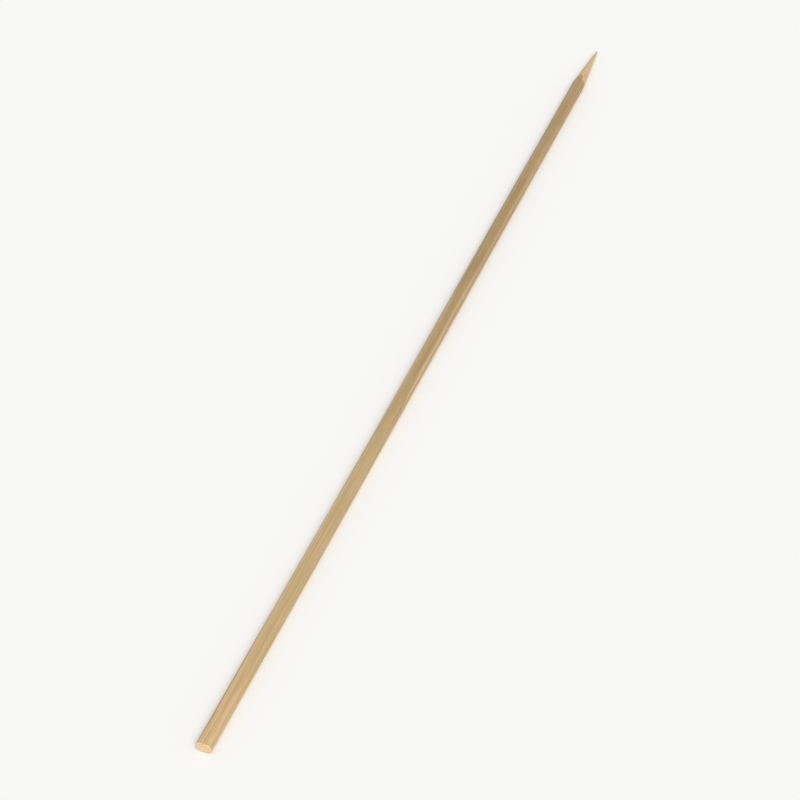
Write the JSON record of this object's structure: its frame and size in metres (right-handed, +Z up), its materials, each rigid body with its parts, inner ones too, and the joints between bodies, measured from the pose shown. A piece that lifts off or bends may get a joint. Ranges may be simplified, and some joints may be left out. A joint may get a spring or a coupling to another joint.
{
  "type": "bamboo skewer",
  "caption": "Slim bamboo rod with a blunt butt, a sharpened point and a narrow flat above and below, for holding food on a grill.",
  "frame": {"origin": "on the surface that the skewer lies on, under the middle of its length and width", "axes": "+X along the skewer, from the blunt butt to the point; +Z up, out of the rind flat; +Y across the skewer"},
  "size_m": [0.2, 0.003, 0.0023],
  "materials": {
    "bamboo": "milled bamboo, unvarnished, satin along the fibres, with a pale green rind flat"
  },
  "bodies": {
    "root": {"skewer": "bamboo"}
  },
  "joints": []
}
